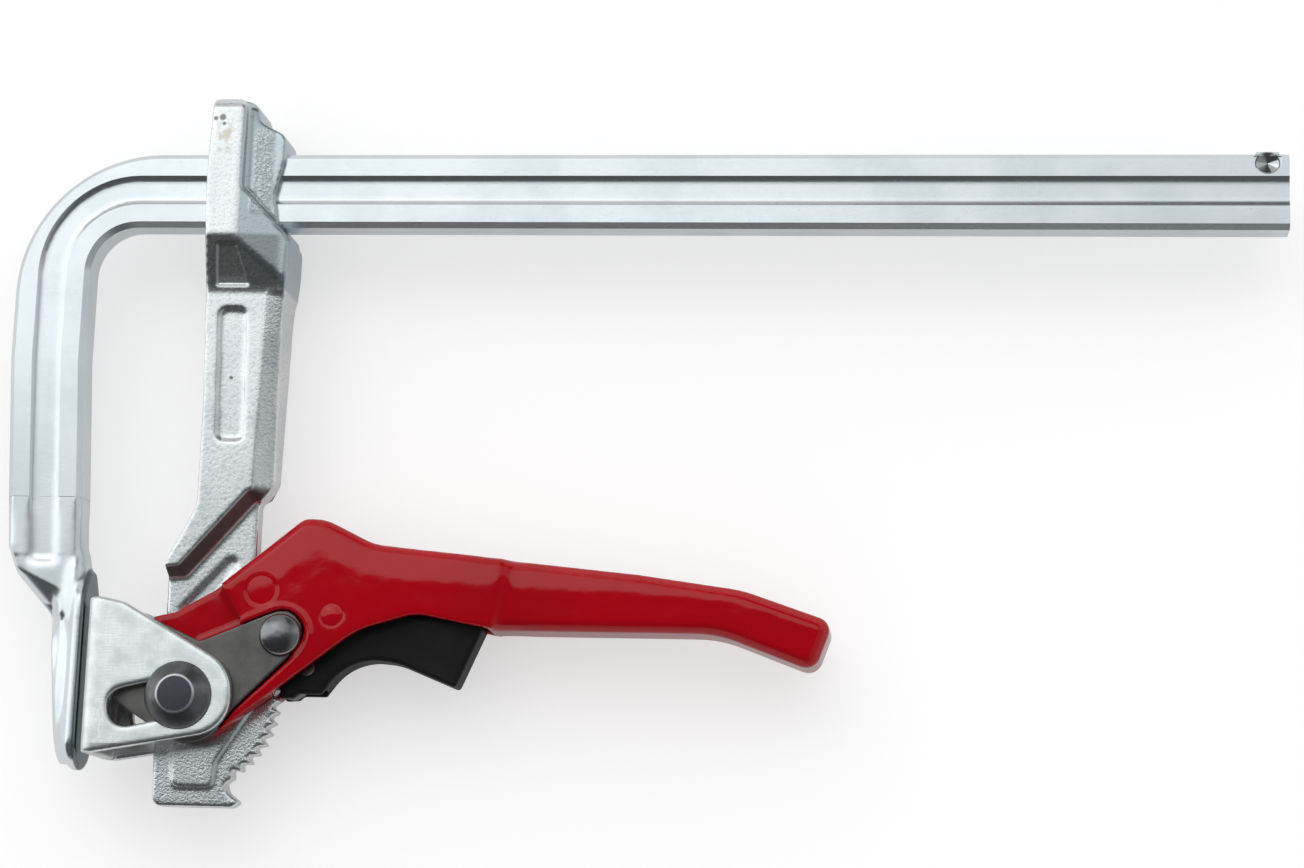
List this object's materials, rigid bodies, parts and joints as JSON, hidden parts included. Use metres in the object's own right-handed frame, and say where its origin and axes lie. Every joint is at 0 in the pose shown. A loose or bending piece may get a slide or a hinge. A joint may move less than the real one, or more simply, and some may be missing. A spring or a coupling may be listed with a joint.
{
  "type": "lever clamp",
  "caption": "Bar clamp with a grooved rail, a bent fixed arm and a sliding arm whose cam lever pushes a folded pressure jaw, released by a trigger.",
  "frame": {"origin": "centre of the fixed jaw's flat face", "axes": "+X along the rail away from the fixed jaw, +Y from the jaws to the rail, +Z the thickness of the clamp, which lies on its side"},
  "size_m": [0.3247, 0.1823, 0.0322],
  "materials": {
    "rail_zinc": "satin bright zinc plate, fine grain",
    "forging_zinc": "grainy zinc plate on a forging",
    "sheet_zinc": "streaky zinc plate on sheet",
    "cam_steel": "matt bare steel",
    "pin_steel": "turned steel",
    "rivet_steel": "polished steel",
    "red_coating": "glossy coating",
    "black_plastic": "satin moulded",
    "spring_steel": "drawn wire"
  },
  "bodies": {
    "rail": {"rail_with_fixed_jaw": "rail_zinc"},
    "arm": {"sliding_arm": "forging_zinc", "pivot_pin": "pin_steel"},
    "jaw": {"pressure_jaw": "sheet_zinc"},
    "handle": {"handle_lever": "red_coating", "cam_plate_front": "cam_steel", "cam_plate_back": "cam_steel", "cam_rivet": "rivet_steel", "spacer_rivet": "red_coating", "trigger_pivot_pin": "red_coating", "cam_sleeve": "rivet_steel", "spacer_sleeve": "rivet_steel"},
    "trigger": {"release_trigger": "black_plastic", "pawl": "cam_steel", "pawl_pin": "rivet_steel", "trigger_spring": "spring_steel"}
  },
  "joints": [
    {"name": "arm_slide", "type": "slide", "parent": "rail", "child": "arm", "axis": [1, 0, 0], "range_m": [0, 0.244]},
    {"name": "handle_swing", "type": "hinge", "parent": "arm", "child": "handle", "pos_m": [0.0272, -0.0048, 0], "axis": [0, 0, 1], "range_deg": [-58, 0]},
    {"name": "pressure_slide", "type": "slide", "parent": "arm", "child": "jaw", "axis": [-0.9748, -0.2233, 0], "range_m": [-0.012, 0]},
    {"name": "trigger_squeeze", "type": "hinge", "parent": "handle", "child": "trigger", "pos_m": [0.064, 0.0164, 0], "axis": [0, 0, 1], "range_deg": [0, 10], "stiffness_Nm_per_rad": 0.1, "springref_deg": -17.19}
  ],
  "couplings": [
    {"joint": "pressure_slide", "follows": "handle_swing", "m_per_rad": 0.011798}
  ]
}
